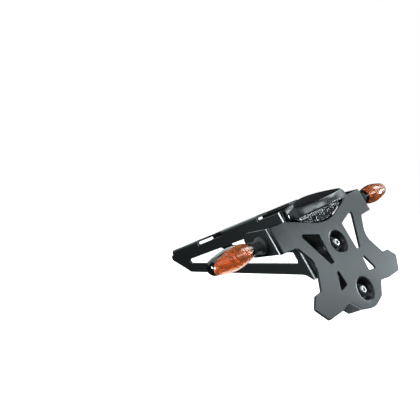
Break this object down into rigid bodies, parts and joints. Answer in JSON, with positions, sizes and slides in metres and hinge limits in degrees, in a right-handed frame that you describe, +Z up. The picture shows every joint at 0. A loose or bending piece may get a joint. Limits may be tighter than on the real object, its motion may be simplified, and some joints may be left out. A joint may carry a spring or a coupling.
{
  "type": "motorbike tail tidy",
  "caption": "Folded sheet-metal tail tidy: windowed number-plate carrier on a bracket with triangular side plates, with an arched plate light and a small amber indicator at each side.",
  "frame": {"origin": "on the rear face of the number-plate carrier, on the centreline, midway between its two bolts", "axes": "+X to the bike's right, +Y towards the front of the bike, +Z up; the plate leans 30 degrees as on the bike"},
  "size_m": [0.3336, 0.2831, 0.126],
  "materials": {
    "powder_coated_sheet": "satin black powder coat",
    "stainless_bolts": "bright stainless",
    "black_washers": "black zinc",
    "spacer_aluminium": "turned",
    "zinc_hardware": "bright zinc",
    "gloss_black_plastic": "glossy moulding",
    "clear_lens": "clear fluted polycarbonate",
    "circuit_board": "solder mask",
    "led_package": "phosphor",
    "amber_lens": "clear amber polycarbonate",
    "reflector": "metallised",
    "bulb_glass": "clear",
    "rubber_stem": "matt"
  },
  "bodies": {
    "root": {"back_plate": "powder_coated_sheet", "main_bracket": "powder_coated_sheet", "plate_bolts": "stainless_bolts", "plate_washers": "black_washers", "plate_spacers": "spacer_aluminium", "plate_nuts": "zinc_hardware", "light_housing": "gloss_black_plastic", "light_lens": "clear_lens", "light_board": "circuit_board", "light_leds": "led_package", "light_screws": "zinc_hardware", "indicator_washers": "zinc_hardware", "indicator_nuts": "zinc_hardware", "left_indicator_body": "gloss_black_plastic", "left_indicator_lens": "amber_lens", "left_indicator_reflector": "reflector", "left_indicator_bulb": "bulb_glass", "left_indicator_stem": "rubber_stem", "left_indicator_stud": "zinc_hardware", "right_indicator_body": "gloss_black_plastic", "right_indicator_lens": "amber_lens", "right_indicator_reflector": "reflector", "right_indicator_bulb": "bulb_glass", "right_indicator_stem": "rubber_stem", "right_indicator_stud": "zinc_hardware"}
  },
  "joints": []
}
